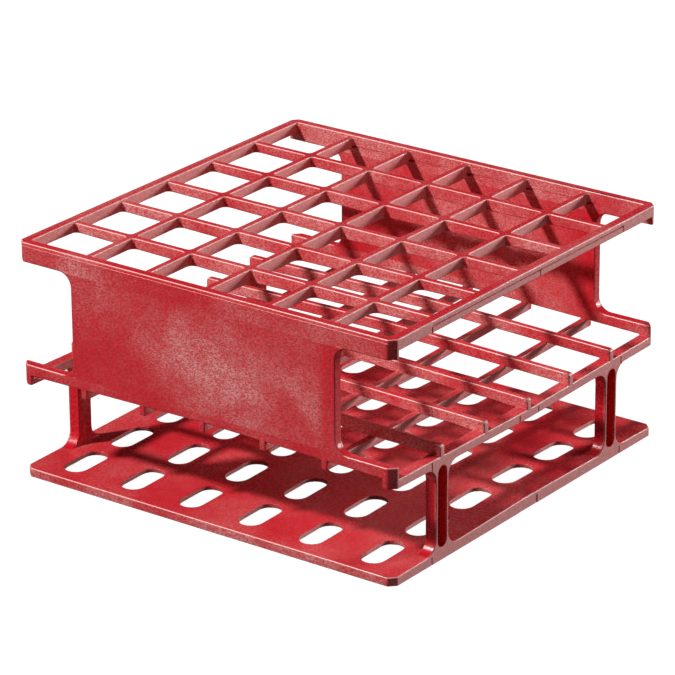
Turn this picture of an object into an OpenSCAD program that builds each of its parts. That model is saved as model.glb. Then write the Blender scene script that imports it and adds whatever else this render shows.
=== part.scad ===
// Open test tube rack with 36 places in a 6 by 6 grid, moulded in red polypropylene.
// Millimetres, +Z up. The origin is the centre of the footprint, on the surface that the rack stands on.
// X runs along the front wall, and Y runs from the front wall (-Y) to the rear wall (+Y).
// The members of the moulding are separate solids that meet face to face. Upper shelf members rest on
// the lower ones, and every long member follows the mould's draft, so it leans by draft_angle.

/* [Overall] */
// Length of each side of the square footprint
side = 125; // [115:1:140]
// Height of the rack
height = 69; // [66:1:85]
// Size of the flat cut across each upright corner
corner_cut = 2; // [1:0.5:2.5]
// Draft that the mould gives to the long members, in degrees
draft_angle = 1; // [0:0.25:1.5]
// Thickness of every rib and bar
rib_t = 2; // [1.6:0.1:2.4]

/* [Top grid] */
// Thickness of the rim round the top grid, and of the front and rear walls
rim_t = 2.9; // [2.5:0.1:3.4]
// Height of the side rims
top_rim_h = 3.4; // [2.6:0.1:3.6]
// Height of the front and rear rims
top_band_h = 5.7; // [5:0.1:7]
// How far the ribs lie below the top of the rim
rib_drop = 0.6; // [0.2:0.1:1]
// Height of the parting step below the top of the front and rear rims
parting_h = 1; // [0.6:0.1:1.5]
// How far the rim is set back above the parting step
parting_step = 0.2; // [0.1:0.05:0.4]

/* [Walls] */
// Width of the front and rear walls
wall_w = 88; // [70:1:100]
// Radius where a wall or a leg flares into its neighbours
flare_r = 4; // [2:0.5:4.5]

/* [Shelf] */
// Height of the plane where the two layers of the shelf meet, at the corners
shelf_z = 30.15; // [26:0.05:34]
// Height of the guide ribs, which run along X in the upper layer
guide_h = 3.2; // [2.5:0.1:3.3]
// Radius of the guide ribs' upper ends
guide_end_r = 1; // [0.5:0.1:1.5]
// Height of the front and rear shelf rims
shelf_band_h = 3.35; // [2.5:0.05:4]
// Height of the cross bars and side rims, which run along Y in the lower layer
bar_h = 2.7; // [2:0.1:3.5]
// Thickness of the shelf's side rims and of the legs
shelf_rim_t = 3.6; // [3:0.1:4.5]

/* [Legs] */
// Width of a leg, seen from the side
leg_w = 5.5; // [4.5:0.1:7]
// Width of the hollow in a leg's outer face
hollow_w = 4.1; // [2.5:0.1:4.3]
// Depth of that hollow
hollow_depth = 2.4; // [1:0.1:2.8]
// Height of the lip below the hollow
hollow_low_lip = 0.7; // [0.3:0.1:1.5]
// Height of the lip above the hollow
hollow_high_lip = 0.1; // [0.1:0.1:1.5]

/* [Base] */
// Height of the base along the front and rear edges
base_edge_h = 2.6; // [2.2:0.1:3.5]
// Thickness of the base inside its skirt
web_t = 1.3; // [1:0.1:1.8]
// Thickness of the skirt round the underside
skirt_t = 2.5; // [2:0.1:3.5]
// Width of the slot under each tube
slot_w = 7; // [5:0.5:9]
// Length of the slot under each tube
slot_l = 15; // [12:0.5:16]

/* [Hidden] */
$fn = 64;
cells = 6;
ribs = cells - 1;
half = side / 2;
fall = tan(draft_angle);
cell = (side - 2 * rim_t - ribs * rib_t) / cells;
pitch = cell + rib_t;
rib_places = [for (i = [1:ribs]) (i - (ribs + 1) / 2) * pitch];
cell_places = [for (i = [1:cells]) (i - (cells + 1) / 2) * pitch];
leg_y = rib_places[ribs - 1];
shelf_band_top = shelf_z + shelf_band_h;
top_band_bottom = height - top_band_h;
spare = 5;
plastic = [0.74, 0.10, 0.11];

// Top of the base, which rises from the front and rear edges to the middle
function base_top(y) = base_edge_h + fall * (half - abs(y));
// Plane where the shelf's layers meet, which rises towards x = 0 and falls towards y = 0
function shelf_mid(x, y) = shelf_z + fall * (half - abs(x)) - fall * (half - abs(y));
// Underside of the top grid's ribs, which leaves the side rims level and falls towards x = 0
function top_under(x) = height - top_rim_h - fall * (half - rim_t - abs(x));

// The members of one shelf layer that a member of the other layer crosses: [place, low side, high side]
function crossings(edge_t) = concat(
    [[-half, -half, edge_t - half]],
    [for (c = rib_places) [c, c - rib_t / 2, c + rib_t / 2]],
    [[half, half - edge_t, half]]
);
// Top of a lower member at x, as [y, z] points with a level seat under every upper member
function seats_along_y(x) = [for (c = crossings(rim_t), k = [1, 2]) [c[k], shelf_mid(x, c[0])]];
// Underside of an upper member at y, as [x, z] points with a level seat on every lower member
function seats_along_x(y) = [for (c = crossings(shelf_rim_t), k = [1, 2]) [c[k], shelf_mid(c[0], y)]];
function reversed(list) = [for (i = [len(list) - 1:-1:0]) list[i]];

// Extrudes an outline drawn in x and z over the span y0 to y1
module along_y(y0, y1) {
    translate([0, y1, 0]) rotate([90, 0, 0]) linear_extrude(y1 - y0) children();
}

// Extrudes an outline drawn in y and z over the span x0 to x1
module along_x(x0, x1) {
    translate([x0, 0, 0]) rotate([90, 0, 90]) linear_extrude(x1 - x0) children();
}

// The square footprint with its four cut corners
module footprint() {
    a = half - corner_cut;
    polygon([[a, -half], [half, -a], [half, a], [a, half], [-a, half], [-half, a], [-half, -a], [-a, -half]]);
}

// Keeps what lies inside the footprint
module trimmed() {
    intersection() {
        children();
        translate([0, 0, -1]) linear_extrude(height + 2) footprint();
    }
}

// Fillet between an upright at u and a line of slope m through [u, v]. It lies on the su side of the
// upright and on the sv side of the line. Subtracted instead of added, it rounds a corner.
module flare(u, v, su, sv, m, r) {
    stretch = sqrt(1 + m * m);
    centre = [u + su * r, v + m * su * r + sv * r * stretch];
    foot = centre + (sv * r / stretch) * [m, -1];
    root = u - su * rib_t / 4;
    outline = [[root, v + m * (root - u)], foot, centre, [root, centre[1]]];
    difference() {
        polygon(su * sv > 0 ? outline : reversed(outline));
        translate(centre) circle(r);
    }
}

// A slot with round ends, long in Y
module slot() {
    straight = slot_l - slot_w;
    square([slot_w, straight], center = true);
    for (s = [-1, 1]) translate([0, s * straight / 2]) circle(d = slot_w);
}

// The space under the base's top, lowered by depth
module under_base_top(depth) {
    low = -spare;
    along_x(-half, half)
        polygon([[-half, low], [half, low], [half, base_top(half) - depth],
                 [0, base_top(0) - depth], [-half, base_top(half) - depth]]);
}

module base_plate() {
    inner = side - 2 * skirt_t;
    color(plastic) difference() {
        intersection() {
            under_base_top(0);
            linear_extrude(height) difference() {
                footprint();
                for (x = cell_places, y = cell_places) translate([x, y]) slot();
            }
        }
        intersection() {
            under_base_top(web_t);
            cube([inner, inner, height], center = true);
        }
    }
}

// A leg on the sx side and at the sy end, between the base and a side rim of the shelf
module leg(sx, sy) {
    y0 = sy * leg_y - leg_w / 2;
    y1 = sy * leg_y + leg_w / 2;
    m = -sy * fall;
    function low(y) = base_top(y);
    function high(y) = shelf_mid(half, y) - bar_h;
    hollow_low = low(leg_y) + hollow_low_lip + hollow_w / 2;
    hollow_high = high(leg_y) - hollow_high_lip - hollow_w / 2;
    x0 = sx > 0 ? half - shelf_rim_t : -half;
    floor_x = sx > 0 ? half - hollow_depth : hollow_depth - half - spare;
    color(plastic) difference() {
        along_x(x0, x0 + shelf_rim_t) {
            polygon([[y0, low(y0)], [y1, low(y1)], [y1, high(y1)], [y0, high(y0)]]);
            flare(y0, low(y0), -1, 1, m, flare_r);
            flare(y1, low(y1), 1, 1, m, flare_r);
            flare(y0, high(y0), -1, -1, -m, flare_r);
            flare(y1, high(y1), 1, -1, -m, flare_r);
        }
        along_x(floor_x, floor_x + spare) translate([sy * leg_y, 0]) {
            translate([-hollow_w / 2, hollow_low]) square([hollow_w, hollow_high - hollow_low]);
            for (z = [hollow_low, hollow_high]) translate([0, z]) circle(d = hollow_w);
        }
    }
}

// A bar of the shelf's lower layer from x0 to x1. Its heights are those at x.
module lower_bar(x, x0, x1) {
    bottom = [[half, shelf_mid(x, half) - bar_h], [0, shelf_mid(x, 0) - bar_h], [-half, shelf_mid(x, half) - bar_h]];
    color(plastic) trimmed() along_x(x0, x1) polygon(concat(seats_along_y(x), bottom));
}

module shelf_side_rim(s) {
    x0 = s > 0 ? half - shelf_rim_t : -half;
    lower_bar(half, x0, x0 + shelf_rim_t);
}

module shelf_cross_bar(x) {
    lower_bar(x, x - rib_t / 2, x + rib_t / 2);
}

// The front or rear edge of the shelf's upper layer, under a wall
module shelf_end_rim(s) {
    y0 = s > 0 ? half - rim_t : -half;
    top = [[half, shelf_band_top], [-half, shelf_band_top]];
    color(plastic) trimmed() along_y(y0, y0 + rim_t) polygon(concat(seats_along_x(half), top));
}

// A rib of the shelf's upper layer, which guides the tubes and ends flush with the side rims
module shelf_guide_rib(y) {
    end_top = shelf_mid(half, y) + guide_h;
    top = [[half, end_top], [0, shelf_mid(0, y) + guide_h], [-half, end_top]];
    color(plastic) along_y(y - rib_t / 2, y + rib_t / 2) difference() {
        polygon(concat(seats_along_x(y), top));
        for (s = [-1, 1]) flare(s * half, end_top, -s, -1, -s * fall, guide_end_r);
    }
}

// The front or rear wall, between the shelf and the top grid
module wall(s) {
    y0 = s > 0 ? half - rim_t : -half;
    color(plastic) along_y(y0, y0 + rim_t) {
        translate([-wall_w / 2, shelf_band_top]) square([wall_w, top_band_bottom - shelf_band_top]);
        for (e = [-1, 1]) {
            flare(e * wall_w / 2, shelf_band_top, e, 1, 0, flare_r);
            flare(e * wall_w / 2, top_band_bottom, e, -1, 0, flare_r);
        }
    }
}

// The front or rear rim of the top grid, set back a little above its parting step
module top_end_rim(s) {
    y0 = s > 0 ? half - rim_t : -half;
    color(plastic) trimmed() difference() {
        translate([-half, y0, top_band_bottom]) cube([side, rim_t, top_band_h]);
        translate([-side, s > 0 ? half - parting_step : -half - spare + parting_step, height - parting_h])
            cube([2 * side, spare, spare]);
    }
}

// The left or right rim of the top grid, between the front and rear rims
module top_side_rim(s) {
    long = side - 2 * rim_t;
    x0 = s > 0 ? half - rim_t : -half;
    color(plastic) translate([x0, -long / 2, height - top_rim_h]) cube([rim_t, long, top_rim_h]);
}

// A rib of the top grid along X, from side rim to side rim
module top_rib(y) {
    end = half - rim_t;
    top = height - rib_drop;
    color(plastic) along_y(y - rib_t / 2, y + rib_t / 2)
        polygon([[-end, top_under(end)], [0, top_under(0)], [end, top_under(end)], [end, top], [-end, top]]);
}

// A rib of the top grid along Y, as the six webs that the ribs along X divide it into
module top_cross_rib(x) {
    bottom = top_under(x);
    color(plastic) for (y = cell_places)
        translate([x - rib_t / 2, y - cell / 2, bottom]) cube([rib_t, cell, height - rib_drop - bottom]);
}

base_plate();
leg(-1, -1);  // leg_front_left
leg(1, -1);  // leg_front_right
leg(-1, 1);  // leg_rear_left
leg(1, 1);  // leg_rear_right
shelf_side_rim(-1);  // shelf_left_rim
shelf_side_rim(1);  // shelf_right_rim
shelf_end_rim(-1);  // shelf_front_rim
shelf_end_rim(1);  // shelf_rear_rim
wall(-1);  // front_wall
wall(1);  // rear_wall
top_side_rim(-1);  // top_left_rim
top_side_rim(1);  // top_right_rim
top_end_rim(-1);  // top_front_rim
top_end_rim(1);  // top_rear_rim
for (i = [1:ribs]) {
    shelf_cross_bar(rib_places[i - 1]);
    shelf_guide_rib(rib_places[i - 1]);
    top_rib(rib_places[i - 1]);
    top_cross_rib(rib_places[i - 1]);
}
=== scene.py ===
"""Looks of the 36-place test tube rack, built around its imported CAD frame.

The rack is one moulding, so its skin is built whole: plain prisms are joined, every outer edge is rounded,
and the skin is then cut along the members' faces. Each cut piece stands for one CAD node.
Shapes are worked out in millimetres, in the frame of the CAD, and are scaled to metres at the end.
"""

import math

import bmesh
import bpy
from mathutils import Matrix, Vector


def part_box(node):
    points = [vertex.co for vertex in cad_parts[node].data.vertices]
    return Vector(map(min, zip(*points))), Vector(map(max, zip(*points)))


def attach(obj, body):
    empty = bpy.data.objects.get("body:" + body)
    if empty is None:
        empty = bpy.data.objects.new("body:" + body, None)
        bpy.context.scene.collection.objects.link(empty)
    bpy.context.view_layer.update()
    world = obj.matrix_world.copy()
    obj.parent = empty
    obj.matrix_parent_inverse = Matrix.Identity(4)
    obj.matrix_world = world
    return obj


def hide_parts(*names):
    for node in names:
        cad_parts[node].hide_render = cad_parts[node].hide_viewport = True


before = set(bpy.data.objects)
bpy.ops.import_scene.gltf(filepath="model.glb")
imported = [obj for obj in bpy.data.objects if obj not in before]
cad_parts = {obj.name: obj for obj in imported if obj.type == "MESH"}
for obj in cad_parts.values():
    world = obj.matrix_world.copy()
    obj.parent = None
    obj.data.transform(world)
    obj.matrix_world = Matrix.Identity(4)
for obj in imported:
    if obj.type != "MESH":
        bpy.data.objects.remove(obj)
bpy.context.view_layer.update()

MM = 0.001
WELD = 0.5  # how far a prism reaches into its neighbour before they are joined
PAST = 1.0  # how far a cutting prism sticks out of what it cuts


# ---------------------------------------------------------------- sizes, from the frame

def box_mm(node):
    """The two far corners of a node's box."""
    low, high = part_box(node)
    return low / MM, high / MM


def size_mm(node):
    """A node's extent along each axis."""
    low, high = box_mm(node)
    return high - low


RIBS = 5
CELLS = RIBS + 1
HALF = box_mm("base_plate")[1].x
HEIGHT = box_mm("top_left_rim")[1].z
CORNER = 2.0  # chamfer at the corners of the footprint
FALL = math.tan(math.radians(1))  # slope of the base, the shelf and the underside of the top grid

# Top grid. The parting step runs along the upper edges of its front and rear faces
RIM_T = size_mm("top_left_rim").x
RIM_LOW = box_mm("top_left_rim")[0].z
BAND_LOW = box_mm("top_front_rim")[0].z
RIB_T = size_mm("top_rib_1").y
RIB_TOP = box_mm("top_rib_1")[1].z
CELL = (2 * HALF - 2 * RIM_T - RIBS * RIB_T) / CELLS
PITCH = CELL + RIB_T
RIB_AT = [(i - (RIBS - 1) / 2) * PITCH for i in range(RIBS)]
CELL_AT = [(i - (CELLS - 1) / 2) * PITCH for i in range(CELLS)]
CELL_R_TOP, CELL_R_LOW = 0.5, 2.2  # corner radius of a top cell, at the top of the grid and at its bottom
PARTING_H, PARTING_STEP = 1.0, 0.2

# Shelf, with bars along Y below and guide ribs along X above
SHELF_Z = box_mm("shelf_front_rim")[0].z
SHELF_TOP = box_mm("shelf_front_rim")[1].z
SHELF_RIM_T = size_mm("shelf_left_rim").x
BAR_H = 2.7
GUIDE_H = size_mm("shelf_guide_rib_1").z - FALL * HALF
GUIDE_END_R = 1.0

# Walls and legs, which flare out where they end
FLARE_R = 4.0
WALL_HALF = size_mm("front_wall").x / 2 - FLARE_R
LEG_Y = RIB_AT[-1]
LEG_W = 5.5
HOLLOW_DEPTH, HOLLOW_W = 2.4, 4.1
HOLLOW_LIP_LOW, HOLLOW_LIP_HIGH = 0.7, 0.1

# Base, a slotted web with a skirt around it
BASE_EDGE = 2.6
WEB_T = 1.3
SKIRT_T = 2.5
SLOT_W, SLOT_L = 7.0, 15.0

# Rounding of the outer edges, which are those that turn by more than OUTER_EDGE
OUTER_EDGE = math.radians(30)
ROUND = 0.42
LEG_ROUND = 0.32
FOOT_ROUND, FOOT_H = 0.25, 1.5  # for edges below this height
HOLLOW_ROUND = 0.18
SLOT_ROUND = 0.12
PARTING_ROUND = 0.1

# Witness marks of the mould
TICK_W, TICK_DEPTH, TICK_GAP = 0.5, 1.0, 0.5  # a tick ends this gap below the top of its member
INSERT_Y, INSERT_TOP = 45.1, 67.4
INSERT_LINE_H, INSERT_LINE_DEPTH = 0.4, 0.5
PAD_HALF, PAD_DEPTH, PAD_BELOW = 4.5, 0.25, 1.1
RIM_LINE = 0.3
RIM_LINE_IN = 1.0
WALL_LINE, WALL_LINE_H, WALL_LINE_DEPTH = 65.4, 0.6, 0.2


def base_top(y):
    """Height of the top of the base."""
    return BASE_EDGE + FALL * (HALF - abs(y))


def shelf_mid(x, y):
    """Height of the joint between the shelf's lower bars and its guide ribs."""
    return SHELF_Z + FALL * (HALF - abs(x)) - FALL * (HALF - abs(y))


def top_under(x):
    """Height of the underside of the top grid's ribs."""
    return RIM_LOW - FALL * (HALF - RIM_T - abs(x))


# ---------------------------------------------------------------- outlines and prisms

def arc(cx, cy, r, start, end, steps):
    """Points on a circle from start to end, in degrees."""
    angles = [math.radians(start + (end - start) * k / steps) for k in range(steps + 1)]
    return [(cx + r * math.cos(a), cy + r * math.sin(a)) for a in angles]


def rounded_square(cx, cy, side, r, steps=5):
    """A square outline with rounded corners."""
    a = side / 2 - r
    points = []
    for sx, sy, start in ((1, 1, 0), (-1, 1, 90), (-1, -1, 180), (1, -1, 270)):
        points += arc(cx + sx * a, cy + sy * a, r, start, start + 90, steps)
    return points


def obround(cx, cy, width, length, steps=10):
    """A slot outline with round ends, long in its second coordinate."""
    r = width / 2
    a = length / 2 - r
    return arc(cx, cy + a, r, 0, 180, steps) + arc(cx, cy - a, r, 180, 360, steps)


def footprint():
    """The rack's outline from above, a square with chamfered corners."""
    a = HALF - CORNER
    return [(a, -HALF), (HALF, -a), (HALF, a), (a, HALF), (-a, HALF), (-HALF, a), (-HALF, -a), (-a, -HALF)]


def rectangle(u0, u1, v0, v1):
    return [(u0, v0), (u1, v0), (u1, v1), (u0, v1)]


def flare(u, v, su, sv, m=0.0, r=FLARE_R, steps=6):
    """Outline of the fillet between an upright at u and a line of slope m through (u, v)."""
    stretch = math.hypot(1, m)
    cx, cy = u + su * r, v + m * su * r + sv * r * stretch
    foot = math.degrees(math.atan2(-sv, sv * m))
    side = 180.0 if su > 0 else 0.0
    turn = (side - foot + 180) % 360 - 180
    curve = arc(cx, cy, r, foot, foot + turn, steps)
    root = u - su * WELD
    deep = curve[0][1] - sv * WELD
    return [(root, v - sv * WELD), (curve[0][0], deep)] + curve + [(root, curve[-1][1])]


PLANES = {
    "x": lambda u, v, w: (w, u, v),
    "y": lambda u, v, w: (u, w, v),
    "z": lambda u, v, w: (u, v, w),
}


def add_prism(bm, outline, along, low, high, end=None):
    """Extrudes an outline along x, y or z. The outline's coordinates are the two other axes, in order.

    With an end outline of as many points, the sides run from the first outline to that one.
    """
    place = PLANES[along]
    bottom = [bm.verts.new(place(u, v, low)) for u, v in outline]
    top = [bm.verts.new(place(u, v, high)) for u, v in end or outline]
    n = len(outline)
    faces = [bm.faces.new(bottom), bm.faces.new(top)]
    for k in range(n):
        faces.append(bm.faces.new([bottom[k], bottom[(k + 1) % n], top[(k + 1) % n], top[k]]))
    bmesh.ops.recalc_face_normals(bm, faces=faces)


def solid(name, *prisms):
    """An object made of separate prisms, each given by add_prism's arguments after bm."""
    bm = bmesh.new()
    for prism in prisms:
        add_prism(bm, *prism)
    mesh = bpy.data.meshes.new(name)
    bm.to_mesh(mesh)
    bm.free()
    obj = bpy.data.objects.new(name, mesh)
    bpy.context.scene.collection.objects.link(obj)
    return obj


def apply_modifiers(obj):
    """Replaces obj's mesh with the result of its modifiers."""
    graph = bpy.context.evaluated_depsgraph_get()
    mesh = bpy.data.meshes.new_from_object(obj.evaluated_get(graph))
    obj.modifiers.clear()
    old = obj.data
    obj.data = mesh
    bpy.data.meshes.remove(old)


def boolean(obj, operation, *others):
    """Joins or cuts obj with the others, which are used up."""
    for other in others:
        step = obj.modifiers.new(operation, "BOOLEAN")
        step.operation = operation
        step.solver = "MANIFOLD"
        step.object = other
    apply_modifiers(obj)
    for other in others:
        bpy.data.objects.remove(other)


# ---------------------------------------------------------------- the whole skin, with sharp edges

def top_grid():
    """The ribs as a slab with a tapered hole for each cell, inside the rim."""
    e = HALF - RIM_T + WELD
    slab = [(-e, top_under(e)), (0, top_under(0)), (e, top_under(e)), (e, RIB_TOP), (-e, RIB_TOP)]
    grid = solid("grid", (slab, "y", -e, e))
    cores = [
        (
            rounded_square(x, y, CELL, CELL_R_LOW), "z", top_under(x) - PAST, HEIGHT + PAST,
            rounded_square(x, y, CELL, CELL_R_TOP),
        )
        for x in CELL_AT for y in CELL_AT
    ]
    boolean(grid, "DIFFERENCE", solid("cells", *cores))
    rim = solid("rim", (footprint(), "z", RIM_LOW, HEIGHT))
    hole = rounded_square(0, 0, 2 * (HALF - RIM_T), CELL_R_TOP)
    boolean(rim, "DIFFERENCE", solid("hole", (hole, "z", 0, 2 * HEIGHT)))
    boolean(grid, "UNION", rim)
    return grid


def side_span(s, thickness):
    """From inside to outside face of a member along a side, in rising order. s is 1 or -1."""
    return sorted((s * HALF, s * (HALF - thickness)))


def end_members(s):
    """The band of the top grid, the wall and the rim of the shelf, at the front or the rear."""
    y0, y1 = side_span(s, RIM_T)
    under = [(-HALF, SHELF_Z), (0, shelf_mid(0, HALF)), (HALF, SHELF_Z)]
    lower = [*under, (HALF, SHELF_TOP), (-HALF, SHELF_TOP)]
    band = solid("band", (rectangle(-HALF, HALF, BAND_LOW, RIM_LOW + WELD), "y", y0, y1))
    wall = solid("wall", (rectangle(-WALL_HALF, WALL_HALF, SHELF_TOP - WELD, BAND_LOW + WELD), "y", y0, y1))
    rim = solid("rim", (lower, "y", y0, y1))
    flares = [
        flare(e * WALL_HALF, v, e, sv)
        for e in (-1, 1)
        for v, sv in ((SHELF_TOP, 1), (BAND_LOW, -1))
    ]
    boolean(wall, "UNION", band, rim, solid("flares", *[(f, "y", y0, y1) for f in flares]))
    return wall


def guide_rib_outline(y):
    """Side view of a guide rib at y, with short roots that reach into the members under it."""
    points = []
    spans = [(-HALF, -HALF, SHELF_RIM_T - HALF), *[(x, x - RIB_T / 2, x + RIB_T / 2) for x in RIB_AT]]
    spans.append((HALF, HALF - SHELF_RIM_T, HALF))
    for x, x0, x1 in spans:
        z = shelf_mid(x, y)
        points += [(x0, z), (x0, z - WELD), (x1, z - WELD), (x1, z)]
    points = points[1:-1]
    top = shelf_mid(HALF, y) + GUIDE_H
    r = GUIDE_END_R
    points += arc(HALF - r, top - r, r, 0, 90 + math.degrees(FALL), 5)
    points.append((0, shelf_mid(0, y) + GUIDE_H))
    points += arc(r - HALF, top - r, r, 90 - math.degrees(FALL), 180, 5)
    return points


def lower_bar_outline(x):
    """Side view of a lower bar at x, with short roots that reach into the front and rear rims."""
    z_end, z_mid = shelf_mid(x, HALF), shelf_mid(x, 0)
    inner = HALF - RIM_T
    z_inner = shelf_mid(x, inner)
    return [
        (-HALF, z_end - BAR_H), (0, z_mid - BAR_H), (HALF, z_end - BAR_H),
        (HALF, z_end + WELD), (inner, z_end + WELD), (inner, z_inner), (0, z_mid),
        (-inner, z_inner), (-inner, z_end + WELD), (-HALF, z_end + WELD),
    ]


def shelf():
    """The lower bars and the side rims along Y, with the guide ribs along X on top."""
    lower = [(lower_bar_outline(x), "x", x - RIB_T / 2, x + RIB_T / 2) for x in RIB_AT]
    lower += [(lower_bar_outline(HALF), "x", *side_span(s, SHELF_RIM_T)) for s in (-1, 1)]
    upper = [(guide_rib_outline(y), "y", y - RIB_T / 2, y + RIB_T / 2) for y in RIB_AT]
    bars = solid("bars", *lower)
    boolean(bars, "UNION", solid("guides", *upper))
    return bars


def base():
    """The slotted base plate, hollowed from below."""
    a, inner = HALF, HALF - SKIRT_T
    section = [(-a, 0), (a, 0), (a, base_top(a)), (0, base_top(0)), (-a, base_top(a))]
    plate = solid("plate", (section, "x", -a, a))
    through = ("z", -PAST, 10)  # from under the base to well above it
    slots = [(obround(x, y, SLOT_W, SLOT_L), *through) for x in CELL_AT for y in CELL_AT]
    roof = base_top(inner) - WEB_T
    recess = [(-inner, -PAST), (inner, -PAST), (inner, roof), (0, base_top(0) - WEB_T), (-inner, roof)]
    boolean(plate, "DIFFERENCE", solid("slots", *slots), solid("recess", (recess, "x", -inner, inner)))
    return plate


def legs():
    """The four legs, each with the flares at its top and bottom and the hollow in its outer face."""
    bodies, flares, hollows = [], [], []
    for sx in (-1, 1):
        x0, x1 = side_span(sx, SHELF_RIM_T)
        hollow = side_span(sx, HOLLOW_DEPTH)
        hollow[(1 + sx) // 2] += sx * PAST
        for sy in (-1, 1):
            y0, y1 = sy * LEG_Y - LEG_W / 2, sy * LEG_Y + LEG_W / 2
            low = [(y, base_top(y)) for y in (y0, y1)]
            high = [(y, shelf_mid(HALF, y) - BAR_H) for y in (y0, y1)]
            outline = [(y, z - WELD) for y, z in low] + [(y, z + WELD) for y, z in reversed(high)]
            bodies.append((outline, "x", x0, x1))
            for ends, sv, m in ((low, 1, -sy * FALL), (high, -1, sy * FALL)):
                for (y, z), su in zip(ends, (-1, 1)):
                    flares.append((flare(y, z, su, sv, m), "x", x0, x1))
            z0 = base_top(LEG_Y) + HOLLOW_LIP_LOW
            z1 = shelf_mid(HALF, LEG_Y) - BAR_H - HOLLOW_LIP_HIGH
            oval = obround(sy * LEG_Y, (z0 + z1) / 2, HOLLOW_W, z1 - z0)
            hollows.append((oval, "x", *hollow))
    return solid("legs", *bodies), solid("flares", *flares), solid("hollows", *hollows)


def sharp_skin():
    """The whole moulding with sharp edges."""
    skin = top_grid()
    leg_bodies, leg_flares, hollows = legs()
    boolean(skin, "UNION", end_members(-1), end_members(1), shelf(), base())
    boolean(skin, "UNION", leg_bodies)
    boolean(skin, "UNION", leg_flares)
    boolean(skin, "DIFFERENCE", hollows)
    step = rectangle(-2 * HALF, 2 * HALF, HEIGHT - PARTING_H, HEIGHT + PAST)
    steps = [(step, "y", *sorted((s * (HALF - PARTING_STEP), s * (HALF + PAST)))) for s in (-1, 1)]
    boolean(skin, "DIFFERENCE", solid("steps", *steps))
    boolean(skin, "INTERSECT", solid("footprint", (footprint(), "z", -PAST, HEIGHT + PAST)))
    return skin


def tidy_mesh(obj):
    """Welds what the joining left apart and dissolves the edges inside flat faces.

    Flat faces are then split along the middles of the cells, so that none of them goes around a hole.
    """
    bm = bmesh.new()
    bm.from_mesh(obj.data)
    bmesh.ops.remove_doubles(bm, verts=bm.verts, dist=0.004)
    bmesh.ops.dissolve_degenerate(bm, edges=bm.edges, dist=0.002)
    bmesh.ops.dissolve_limit(bm, angle_limit=math.radians(0.4), verts=bm.verts, edges=bm.edges)
    for at in CELL_AT:
        for normal in ((1, 0, 0), (0, 1, 0)):
            point = [at * c for c in normal]
            geom = [*bm.verts, *bm.edges, *bm.faces]
            bmesh.ops.bisect_plane(bm, geom=geom, dist=0.0001, plane_co=point, plane_no=normal)
    bm.to_mesh(obj.data)
    bm.free()


def rounding_of(middle):
    """How much the outer edge with this middle point is rounded."""
    x, y, z = middle
    near = 0.1
    if abs(z - (HEIGHT - PARTING_H)) < near / 2 and abs(abs(y) - HALF) < near / 2:
        return PARTING_ROUND
    on_side = abs(x) > HALF - SHELF_RIM_T - near
    if on_side and base_top(y) + 2 * near < z < shelf_mid(HALF, y) - BAR_H - 2 * near:
        in_hollow = abs(abs(y) - LEG_Y) < HOLLOW_W / 2 + near
        return HOLLOW_ROUND if in_hollow else LEG_ROUND
    if z < FOOT_H:
        return FOOT_ROUND
    if max(abs(x), abs(y)) < HALF - CORNER and abs(z - base_top(y)) < near:
        return SLOT_ROUND
    return ROUND


def round_edges(obj):
    """Rounds every outer edge by its own amount."""
    bm = bmesh.new()
    bm.from_mesh(obj.data)
    weight = bm.edges.layers.float.new("bevel_weight_edge")
    for edge in bm.edges:
        if edge.is_manifold and edge.is_convex and edge.calc_face_angle() > OUTER_EDGE:
            edge[weight] = rounding_of((edge.verts[0].co + edge.verts[1].co) / 2) / ROUND
    bm.to_mesh(obj.data)
    bm.free()
    step = obj.modifiers.new("round", "BEVEL")
    step.limit_method = "WEIGHT"
    step.width = ROUND
    step.segments = 3
    step.use_clamp_overlap = False
    step.miter_outer = "MITER_SHARP"
    apply_modifiers(obj)


def remake_foot(obj):
    """Fills the flat ring that the rack stands on again, because the rounding leaves its faces tangled."""
    bm = bmesh.new()
    bm.from_mesh(obj.data)
    flat = [f for f in bm.faces if all(abs(v.co.z) < 0.001 for v in f.verts)]
    bmesh.ops.delete(bm, geom=flat, context="FACES")
    open_edges = [e for e in bm.edges if e.is_boundary]
    bmesh.ops.triangle_fill(bm, use_beauty=True, edges=open_edges, normal=(0, 0, -1))
    bm.to_mesh(obj.data)
    bm.free()


def block(x0, x1, y0, y1, z0, z1):
    """A box as a prism along z, whichever way round its ends are given."""
    return rectangle(min(x0, x1), max(x0, x1), min(y0, y1), max(y0, y1)), "z", z0, z1


def side_marks(s):
    """The insert line, the ticks and the pad on the right side, or for s = -1 on the left one."""
    x0, x1 = s * (HALF - TICK_DEPTH), s * (HALF + PAST)
    line_x = s * (HALF - INSERT_LINE_DEPTH)
    marks = [block(line_x, x1, -INSERT_Y, INSERT_Y, INSERT_TOP, INSERT_TOP + INSERT_LINE_H)]
    for y in (-INSERT_Y, INSERT_Y, -PAD_HALF, PAD_HALF):
        y0, y1 = y - TICK_W / 2, y + TICK_W / 2
        bar_top = shelf_mid(HALF, y)
        marks.append(block(x0, x1, y0, y1, bar_top - BAR_H - PAST, bar_top - TICK_GAP))
        if abs(y) == INSERT_Y:
            marks.append(block(x0, x1, y0, y1, -PAST, base_top(y) - TICK_GAP))
        if y != -PAD_HALF:
            marks.append(block(x0, x1, y0, y1, RIM_LOW - PAST, INSERT_TOP))
    pad_x, pad_top = s * (HALF - PAD_DEPTH), base_top(0) - PAD_BELOW
    marks.append(block(pad_x, x1, -PAD_HALF, PAD_HALF, -PAST, pad_top))
    return marks


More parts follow.
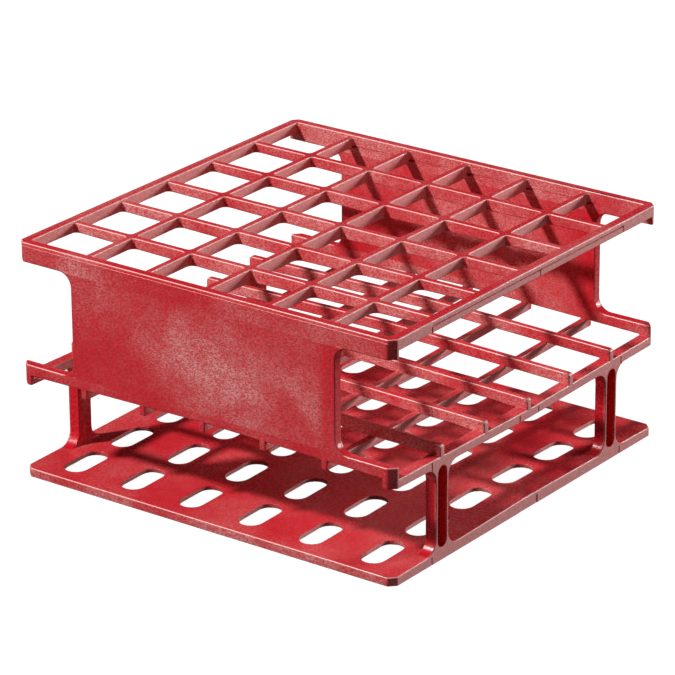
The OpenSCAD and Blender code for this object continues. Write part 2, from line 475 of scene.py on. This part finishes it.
def left_rim_marks():
    """The line along the top of the left rim, and the ledges in its side above the legs."""
    x = -HALF + RIM_LINE_IN
    marks = [block(x, x + RIM_LINE, -HALF + CORNER, HALF - CORNER, HEIGHT - RIM_LINE, HEIGHT + PAST)]
    for s in (-1, 1):
        ledge = sorted((s * (LEG_Y - LEG_W / 2), s * (LEG_Y + LEG_W / 2)))
        marks.append(block(-HALF - PAST, -HALF + RIM_LINE, *ledge, INSERT_TOP, HEIGHT + PAST))
    return marks


def wall_mark():
    """The line along the inside of the rear wall."""
    inner = HALF - RIM_T
    y0, y1 = inner - PAST, inner + WALL_LINE_DEPTH
    return block(-WALL_HALF, WALL_HALF, y0, y1, WALL_LINE, WALL_LINE + WALL_LINE_H)


def mould_marks(obj):
    """Cuts the witness marks of the mould's inserts, one at a time."""
    for mark in (*side_marks(-1), *side_marks(1), *left_rim_marks(), wall_mark()):
        boolean(obj, "DIFFERENCE", solid("mark", mark))


# ---------------------------------------------------------------- cutting the skin into members

SEAM = 0.04  # how far a cut lies beyond the face where two members meet
FAR = 90.0  # reaches past the rack from anywhere in it
PIECES = {}


def duplicate(obj):
    twin = obj.copy()
    twin.data = obj.data.copy()
    bpy.context.scene.collection.objects.link(twin)
    return twin


def take(rest, *prisms):
    """Cuts what lies inside the prisms away from rest, and returns it."""
    part = duplicate(rest)
    boolean(part, "INTERSECT", solid("region", *prisms))
    boolean(rest, "DIFFERENCE", solid("region", *prisms))
    return part


def islands(obj):
    """A bmesh of obj, and its separate solids as pairs of a centre and the numbers of their vertices."""
    source = bmesh.new()
    source.from_mesh(obj.data)
    source.verts.ensure_lookup_table()
    seen = set()
    found = []
    for start in source.verts:
        if start.index in seen:
            continue
        group = set()
        queue = [start]
        seen.add(start.index)
        while queue:
            vert = queue.pop()
            group.add(vert.index)
            for edge in vert.link_edges:
                other = edge.other_vert(vert)
                if other.index not in seen:
                    seen.add(other.index)
                    queue.append(other)
        found.append(group)
    result = []
    for group in found:
        points = [source.verts[k].co for k in group]
        centre = [(min(p[a] for p in points) + max(p[a] for p in points)) / 2 for a in range(3)]
        result.append((centre, group))
    return source, result


def split_into(obj, name_of):
    """Makes one piece for each name that name_of gives to the centres of obj's solids."""
    source, parts = islands(obj)
    by_name = {}
    for centre, group in parts:
        by_name.setdefault(name_of(*centre), set()).update(group)
    for name, group in sorted(by_name.items()):
        bm = source.copy()
        bm.verts.ensure_lookup_table()
        gone = [v for v in bm.verts if v.index not in group]
        bmesh.ops.delete(bm, geom=gone, context="VERTS")
        bmesh.ops.remove_doubles(bm, verts=bm.verts, dist=0.0005)
        bmesh.ops.scale(bm, vec=(MM, MM, MM), verts=bm.verts)
        mesh = bpy.data.meshes.new(name + "_skin")
        bm.to_mesh(mesh)
        bm.free()
        piece = bpy.data.objects.new(name + "_skin", mesh)
        bpy.context.scene.collection.objects.link(piece)
        PIECES[name] = piece
    source.free()
    bpy.data.objects.remove(obj)


def side_word(value, low, high):
    """low for a place on the negative side, high for one on the positive side."""
    return low if value < 0 else high


def nearest(value):
    """The number of the rib place nearest to value, counted from 1."""
    return 1 + min(range(RIBS), key=lambda k: abs(RIB_AT[k] - value))


def under_line(line, drop=60.0):
    """Outline of everything under a line of (u, v) points."""
    return line + [(line[-1][0], line[-1][1] - drop), (line[0][0], line[0][1] - drop)]


def outward(s, start):
    """From start to far outside the rack on one side, in rising order. s is 1 or -1."""
    return sorted((s * start, s * FAR))


def leg_name(x, y, z):
    return f"leg_{side_word(y, 'front', 'rear')}_{side_word(x, 'left', 'right')}"


def lower_name(x, y, z):
    if abs(x) > RIB_AT[-1] + PITCH / 2:
        return side_word(x, "shelf_left_rim", "shelf_right_rim")
    return f"shelf_cross_bar_{nearest(x)}"


def upper_name(x, y, z):
    if abs(y) > RIB_AT[-1] + PITCH / 2:
        return side_word(y, "shelf_front_rim", "shelf_rear_rim")
    return f"shelf_guide_rib_{nearest(y)}"


def cut_top(top):
    """Cuts the top grid into its four rims, the ribs along X and the pieces of rib between those."""
    inner = HALF - RIM_T - SEAM
    above = rectangle(-FAR, FAR, 0, FAR)
    bands = [(above, "y", *outward(s, inner)) for s in (-1, 1)]
    split_into(take(top, *bands), lambda x, y, z: side_word(y, "top_front_rim", "top_rear_rim"))
    rims = [(above, "x", *outward(s, inner)) for s in (-1, 1)]
    split_into(take(top, *rims), lambda x, y, z: side_word(x, "top_left_rim", "top_right_rim"))
    reach = RIB_T / 2 + SEAM
    slabs = [(above, "y", y - reach, y + reach) for y in RIB_AT]
    split_into(take(top, *slabs), lambda x, y, z: f"top_rib_{nearest(y)}")
    split_into(top, lambda x, y, z: f"top_cross_rib_{nearest(x)}")


def cut_into_members(skin):
    """Cuts off the base, the legs, the top grid, the walls and the shelf's lower bars in turn."""
    base_line = [(y, base_top(y) + SEAM) for y in (FAR, 0, -FAR)]
    split_into(take(skin, (under_line(base_line), "x", -FAR, FAR)), lambda x, y, z: "base_plate")
    leg_line = [(y, shelf_mid(HALF, y) - BAR_H - SEAM) for y in (FAR, 0, -FAR)]
    split_into(take(skin, (under_line(leg_line), "x", -FAR, FAR)), leg_name)
    top = take(skin, (rectangle(-FAR, FAR, BAND_LOW - SEAM, FAR), "y", -FAR, FAR))
    over_shelf = rectangle(-FAR, FAR, SHELF_TOP + SEAM, FAR)
    walls = take(skin, *[(over_shelf, "y", *outward(s, HALF - RIM_T - PAST)) for s in (-1, 1)])
    split_into(walls, lambda x, y, z: side_word(y, "front_wall", "rear_wall"))
    lower = []
    for x, half_width in [(x, RIB_T) for x in RIB_AT] + [(s * HALF, SHELF_RIM_T + PAST) for s in (-1, 1)]:
        line = [(y, shelf_mid(x, y) + SEAM) for y in (FAR, 0, -FAR)]
        lower.append((under_line(line), "x", x - half_width, x + half_width))
    split_into(take(skin, *lower), lower_name)
    split_into(skin, upper_name)
    cut_top(top)


# ---------------------------------------------------------------- material

SHARP = math.radians(38)  # faces that meet at more than this angle are shaded apart
BRIGHT_RED = (0.76, 0.010, 0.026)
RED = (0.64, 0.007, 0.018)
# Painted shade: the next red darkens flat faces, and the one after it the pits of upright faces.
FLAT_SHADE_RED = (0.48, 0.006, 0.016)
PIT_SHADE_RED = (0.42, 0.004, 0.012)
# Pale pinks of the painted sheen, and then of the painted edge highlight.
SHEEN_PINK = (0.90, 0.40, 0.38)
HIGHLIGHT_PINK = (0.95, 0.50, 0.46)


def mix_colour(tree, factor, a, b):
    """a where factor is 0, b where it is 1. Each is a colour or a socket."""
    made = tree.nodes.new("ShaderNodeMix")
    made.data_type = "RGBA"
    tree.links.new(factor, made.inputs[0])
    for socket, value in ((made.inputs[6], a), (made.inputs[7], b)):
        if isinstance(value, tuple):
            socket.default_value = (*value, 1)
        else:
            tree.links.new(value, socket)
    return made.outputs[2]


def ramp(tree, value, low, high, out_low=0.0, out_high=1.0):
    """value mapped from low..high to out_low..out_high, clamped."""
    made = tree.nodes.new("ShaderNodeMapRange")
    made.inputs[1].default_value, made.inputs[2].default_value = low, high
    made.inputs[3].default_value, made.inputs[4].default_value = out_low, out_high
    tree.links.new(value, made.inputs[0])
    return made.outputs[0]


def math_node(tree, operation, a, b=0.0):
    made = tree.nodes.new("ShaderNodeMath")
    made.operation = operation
    for socket, value in zip(made.inputs, (a, b)):
        if isinstance(value, (int, float)):
            socket.default_value = value
        else:
            tree.links.new(value, socket)
    return made.outputs[0]


def size_of(tree, value):
    return math_node(tree, "ABSOLUTE", value)


def noise(tree, place, scale, detail=2.0, rough=0.5):
    """Noise with scale waves to the metre."""
    made = tree.nodes.new("ShaderNodeTexNoise")
    made.inputs["Scale"].default_value = scale
    made.inputs["Detail"].default_value = detail
    made.inputs["Roughness"].default_value = rough
    tree.links.new(place, made.inputs["Vector"])
    return made.outputs["Fac"]


def sum_of(tree, *values):
    """The values added up. Each is a socket or a number, and the first is a socket."""
    total = values[0]
    for value in values[1:]:
        total = math_node(tree, "ADD", total, value)
    return total


def product_of(tree, *values):
    """The values multiplied, in the same way."""
    total = values[0]
    for value in values[1:]:
        total = math_node(tree, "MULTIPLY", total, value)
    return total


def speckles(tree, place):
    """Fine specks, with streaks that lean 25 degrees among them. They set where the painted sheen shows,
    and they add to the bump.
    """
    stretched = tree.nodes.new("ShaderNodeMapping")
    stretched.inputs["Rotation"].default_value = (0, math.radians(25), 0)
    stretched.inputs["Scale"].default_value = (0.45, 1, 1)
    tree.links.new(place, stretched.inputs["Vector"])
    streaks = ramp(tree, noise(tree, stretched.outputs[0], 2700.0, 2.0, 0.6), 0.52, 0.59)
    specks = ramp(tree, noise(tree, place, 3000.0, 2.0, 0.6), 0.49, 0.56)
    return math_node(tree, "MAXIMUM", product_of(tree, specks, 0.8), streaks)


def painted_sheen(tree, place, specks, upright, sideways):
    """How much painted sheen shows: patches of specks on upright faces, and nearly all of it on sideways
    ones.
    """
    clouds = ramp(tree, noise(tree, place, 34.0, 3.0), 0.40, 0.58, 0.3, 1.0)
    patches = ramp(tree, noise(tree, place, 170.0, 2.0, 0.6), 0.36, 0.60, 0.6, 1.0)
    cover = math_node(tree, "MAXIMUM", product_of(tree, clouds, patches), sideways)
    shown = ramp(tree, specks, 0.0, 1.0, 0.2, 1.0)
    shown = math_node(tree, "MAXIMUM", shown, product_of(tree, sideways, 0.8))
    return product_of(tree, ramp(tree, upright, 0.0, 1.0, 0.32, 1.0), cover, shown)


def red_with_painted_shade(tree, tone, upright):
    """The plastic's red, which varies at random with the tone, with painted shade that darkens flat faces
    and the pits of upright ones.
    """
    body = mix_colour(tree, tone, RED, BRIGHT_RED)
    # Painted shade on flat faces, which are mixed half way towards a darker red.
    body = mix_colour(tree, ramp(tree, upright, 0.0, 1.0, 0.5, 0.0), body, FLAT_SHADE_RED)
    # Painted shade in the pits: upright faces are darkened where the tone is low, which is also where the
    # bump sinks.
    pits = product_of(tree, upright, ramp(tree, tone, 0.38, 0.50, 1.0, 0.0))
    return mix_colour(tree, ramp(tree, pits, 0.0, 1.0, 0.0, 0.35), body, PIT_SHADE_RED)


def rough_surface(tree, place, tone, specks, upright):
    """A shading normal that is grainy on upright faces and almost even on flat ones."""
    grain = noise(tree, place, 2600.0, 2.0, 0.6)
    parts = [product_of(tree, part, share) for part, share in ((grain, 0.3), (tone, 0.3), (specks, 0.4))]
    bump = tree.nodes.new("ShaderNodeBump")
    bump.inputs["Distance"].default_value = 0.00012
    tree.links.new(sum_of(tree, *parts), bump.inputs["Height"])
    tree.links.new(ramp(tree, upright, 0.0, 1.0, 0.05, 0.8), bump.inputs["Strength"])
    return bump.outputs[0]


def red_polypropylene(name, sheen_mask=None, highlight_mask=None):
    """Satin red plastic. Its upright faces carry a speckled painted sheen, and its upper edges carry a
    painted highlight in pale pink.

    The two masks give one more factor each, for the painted sheen and for the painted edge highlight, from
    the tree and the place.
    """
    material = bpy.data.materials.new(name)
    material.use_nodes = True
    tree = material.node_tree
    shader = tree.nodes["Principled BSDF"]
    shader.inputs["IOR"].default_value = 1.49
    place = tree.nodes.new("ShaderNodeTexCoord").outputs["Object"]
    axes = tree.nodes.new("ShaderNodeSeparateXYZ")
    tree.links.new(place, axes.inputs[0])
    normal = tree.nodes.new("ShaderNodeSeparateXYZ")
    tree.links.new(tree.nodes.new("ShaderNodeNewGeometry").outputs["Normal"], normal.inputs[0])
    upright = ramp(tree, size_of(tree, normal.outputs["Z"]), 0.3, 0.8, 1.0, 0.0)
    sideways = ramp(tree, size_of(tree, normal.outputs["X"]), 0.7, 0.95)

    specks = speckles(tree, place)
    # Painted sheen: pale pink reflection mixed into the red, in patches of specks on upright faces and over
    # nearly all of the sideways ones.
    sheen = painted_sheen(tree, place, specks, upright, sideways)
    if sheen_mask:
        sheen = product_of(tree, sheen, sheen_mask(tree, axes.outputs))
    tone = noise(tree, place, 1300.0, 3.0, 0.6)
    colour = mix_colour(tree, sheen, red_with_painted_shade(tree, tone, upright), SHEEN_PINK)

    # Painted highlight: pale pink on rounded upper edges, whose normals rise part way between sideways and
    # straight up.
    rising = ramp(tree, normal.outputs["Z"], 0.30, 0.45)
    edge_highlight = product_of(tree, rising, ramp(tree, normal.outputs["Z"], 0.80, 0.95, 1.0, 0.0))
    if highlight_mask:
        edge_highlight = product_of(tree, edge_highlight, highlight_mask(tree, axes.outputs))
    colour = mix_colour(tree, ramp(tree, edge_highlight, 0.0, 1.0, 0.0, 0.75), colour, HIGHLIGHT_PINK)

    tree.links.new(colour, shader.inputs["Base Color"])
    tree.links.new(ramp(tree, tone, 0.3, 0.7, 0.22, 0.32), shader.inputs["Roughness"])
    tree.links.new(rough_surface(tree, place, tone, specks, upright), shader.inputs["Normal"])
    return material


# The masks below work in metres, as the shader does


def wall_sheen(tree, axes):
    """Painted sheen in a broad band that runs down from the upper left, with less of it at the upright
    ends.
    """
    off_line = sum_of(tree, axes["Z"], product_of(tree, axes["X"], 0.3), -0.049)
    band = ramp(tree, size_of(tree, off_line), 0.004, 0.018, 1.0, 0.3)
    left = ramp(tree, axes["X"], -0.038, -0.012, 0.3, 1.0)
    right = ramp(tree, axes["X"], 0.037, 0.041, 1.0, 0.2)
    return product_of(tree, band, left, right)


def leg_sheen(tree, axes):
    """Painted sheen on a leg's outermost faces only."""
    return ramp(tree, size_of(tree, axes["X"]), (HALF - 0.8) * MM, (HALF - 0.2) * MM)


def end_sheen(tree, axes, least):
    """Only the least share of the painted sheen on the front and rear faces."""
    return ramp(tree, size_of(tree, axes["Y"]), (HALF - 3) * MM, (HALF - 1) * MM, 1.0, least)


def shelf_sheen(tree, axes):
    """The shelf's front and rear faces, and the rib ends in them, carry little of the painted sheen."""
    return end_sheen(tree, axes, 0.25)


def front_sheen(tree, axes):
    """The top grid's front face carries the full painted sheen at the left end only."""
    left = ramp(tree, axes["X"], -0.042, -0.024, 1.0, 0.0)
    return math_node(tree, "MAXIMUM", end_sheen(tree, axes, 0.45), left)


def no_highlight(tree, axes):
    """No painted edge highlight. The fillets of walls and legs face the same ways as the highlighted edges,
    but stay red.
    """
    return 0.0


def outer_highlights(tree, axes):
    """Painted edge highlights around the outside of the base only, not around its slots."""
    far_out = [size_of(tree, axes[axis]) for axis in ("X", "Y")]
    return ramp(tree, math_node(tree, "MAXIMUM", *far_out), (HALF - 2) * MM, (HALF - 1) * MM)


def finish_piece(name, piece, material):
    piece.data.materials.clear()
    piece.data.materials.append(material)
    for polygon in piece.data.polygons:
        polygon.use_smooth = True
    bm = bmesh.new()
    bm.from_mesh(piece.data)
    for edge in bm.edges:
        edge.smooth = not edge.is_manifold or edge.calc_face_angle(0) < SHARP
    bm.to_mesh(piece.data)
    bm.free()
    normals = piece.modifiers.new("weighted_normals", "WEIGHTED_NORMAL")
    normals.keep_sharp = True
    normals.weight = 100
    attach(piece, "root")
    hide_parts(name)


# ---------------------------------------------------------------- stage, light and camera

# Lights as azimuth and elevation in degrees, distance and size in metres, and power in watts
LIGHTS = {
    "key": (-38, 44.5, 1.6, 0.13, 28),
    "back": (143, 14, 1.4, 0.35, 15),
    "top": (0, 89, 1.4, 1.0, 0.5),
}
LIGHTS_AT = 0.03  # height that the lights point at
WORLD_LIGHT = 0.012
FLOOR_GLOW, FLOOR_SEEN = 0.02, 1.0  # light given off by the floor, and how bright the camera sees it
FLOOR_ALBEDO = 0.12
FLOOR_SIZE, FLOOR_GAP = 8, 0.0002

# Camera, with its angles in degrees and its places in metres
LENS, SENSOR = 220.34, 36.0
CAMERA_AZIMUTH, CAMERA_ELEVATION, CAMERA_ROLL = 36.588, 22.001, -0.379
CAMERA_DISTANCE, CAMERA_AIM_Z, CAMERA_LEFT = 1.13786, 0.035, 0.00108


def look_along(obj, back, roll=0.0):
    """Turns obj so that its local +Z points along back, and its +Y is as upright as it can be."""
    z = Vector(back).normalized()
    x = Vector((0, 0, 1)).cross(z).normalized()
    y = z.cross(x)
    turn = Matrix((x, y, z)).transposed().to_4x4() @ Matrix.Rotation(roll, 4, "Z")
    obj.matrix_world = Matrix.Translation(obj.location) @ turn


def direction(azimuth, elevation):
    """Unit vector from the rack towards a viewer or a light. Azimuth 0 is in front of the front wall."""
    a, e = math.radians(azimuth), math.radians(elevation)
    return Vector((math.sin(a) * math.cos(e), -math.cos(a) * math.cos(e), math.sin(e)))


def add_camera():
    data = bpy.data.cameras.new("camera")
    data.lens = LENS
    data.sensor_width = SENSOR
    camera = bpy.data.objects.new("camera", data)
    bpy.context.scene.collection.objects.link(camera)
    back = direction(CAMERA_AZIMUTH, CAMERA_ELEVATION)
    right = Vector((0, 0, 1)).cross(back).normalized()
    camera.location = Vector((0, 0, CAMERA_AIM_Z)) + back * CAMERA_DISTANCE - right * CAMERA_LEFT
    look_along(camera, back, math.radians(CAMERA_ROLL))
    bpy.context.scene.camera = camera


def add_light(name, azimuth, elevation, distance, size, power):
    data = bpy.data.lights.new(name, "AREA")
    data.shape = "DISK"
    data.size = size
    data.energy = power
    light = bpy.data.objects.new(name, data)
    bpy.context.scene.collection.objects.link(light)
    towards = direction(azimuth, elevation)
    light.location = Vector((0, 0, LIGHTS_AT)) + towards * distance
    look_along(light, towards)


def add_floor():
    bpy.ops.mesh.primitive_plane_add(size=FLOOR_SIZE, location=(0, 0, -FLOOR_GAP))
    floor = bpy.context.object
    floor.name = "floor"
    material = bpy.data.materials.new("floor")
    material.use_nodes = True
    tree = material.node_tree
    shader = tree.nodes["Principled BSDF"]
    shader.inputs["Base Color"].default_value = (*[FLOOR_ALBEDO] * 3, 1)
    shader.inputs["Roughness"].default_value = 0.9
    shader.inputs["Specular IOR Level"].default_value = 0.1
    shader.inputs["Emission Color"].default_value = (1, 1, 1, 1)
    seen = tree.nodes.new("ShaderNodeLightPath").outputs["Is Camera Ray"]
    tree.links.new(ramp(tree, seen, 0, 1, FLOOR_GLOW, FLOOR_SEEN), shader.inputs["Emission Strength"])
    floor.data.materials.append(material)


def add_world():
    world = bpy.data.worlds.new("studio")
    bpy.context.scene.world = world
    world.use_nodes = True
    background = world.node_tree.nodes["Background"]
    background.inputs["Color"].default_value = (1, 1, 1, 1)
    background.inputs["Strength"].default_value = WORLD_LIGHT


def add_stage():
    add_floor()
    add_world()
    for name, (azimuth, elevation, distance, size, power) in LIGHTS.items():
        add_light(name, azimuth, elevation, distance, size, power)
    bpy.context.scene.view_settings.view_transform = "Standard"


# ---------------------------------------------------------------- the scene

add_camera()
add_stage()
skin = sharp_skin()
tidy_mesh(skin)
round_edges(skin)
remake_foot(skin)
mould_marks(skin)
cut_into_members(skin)
plastic = red_polypropylene("red_polypropylene")
# Materials that differ in where the painted sheen and the painted edge highlights show.
special = {
    "wall": red_polypropylene("red_polypropylene_wall", wall_sheen, no_highlight),
    "leg": red_polypropylene("red_polypropylene_leg", leg_sheen, no_highlight),
    "base": red_polypropylene("red_polypropylene_base", None, outer_highlights),
    "shelf": red_polypropylene("red_polypropylene_shelf", shelf_sheen),
    "top_front": red_polypropylene("red_polypropylene_front", front_sheen),
}
for name, piece in PIECES.items():
    kinds = [kind for kind in special if kind in name]
    finish_piece(name, piece, special[kinds[0]] if kinds else plastic)

bpy.context.view_layer.update()
